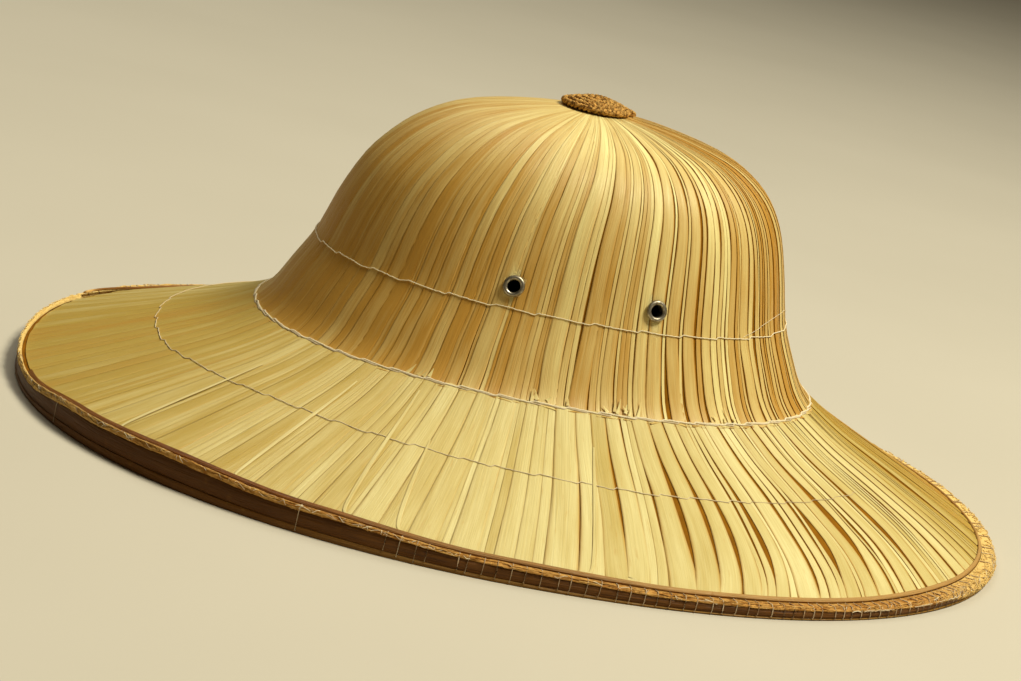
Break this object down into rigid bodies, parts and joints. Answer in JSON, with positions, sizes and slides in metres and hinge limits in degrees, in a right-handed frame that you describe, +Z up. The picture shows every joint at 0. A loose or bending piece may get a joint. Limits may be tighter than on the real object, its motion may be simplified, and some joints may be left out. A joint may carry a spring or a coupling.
{
  "type": "pith helmet",
  "caption": "Domed sun helmet of dried palm leaf strips, with a wide sloping brim, a bamboo rim, vent eyelets and a coiled fibre knob.",
  "frame": {"origin": "middle of the rim's oval, on the plane that the hat rests on", "axes": "+Z up through the crown, +X along the long way of the hat, toward the fuller shoulder of the crown"},
  "size_m": [0.4, 0.3374, 0.1475],
  "materials": {
    "crown_leaf": "dried palm leaf strips, satin",
    "brim_leaf": "dried palm leaf strips, satin",
    "twisted_fibre": "coiled twisted bark fibre, matt",
    "nickel": "dull nickel",
    "dark_bamboo": "stained bamboo skin, glossy",
    "packing_fibre": "tan fibre roll, matt",
    "split_bamboo": "brown split bamboo, satin"
  },
  "bodies": {
    "root": {"crown": "crown_leaf", "brim": "brim_leaf", "crown_button": "twisted_fibre", "eyelet_1": "nickel", "eyelet_2": "nickel", "eyelet_3": "nickel", "eyelet_4": "nickel", "rim_hoop": "dark_bamboo", "rim_packing": "packing_fibre", "rim_splint": "split_bamboo"}
  },
  "joints": []
}
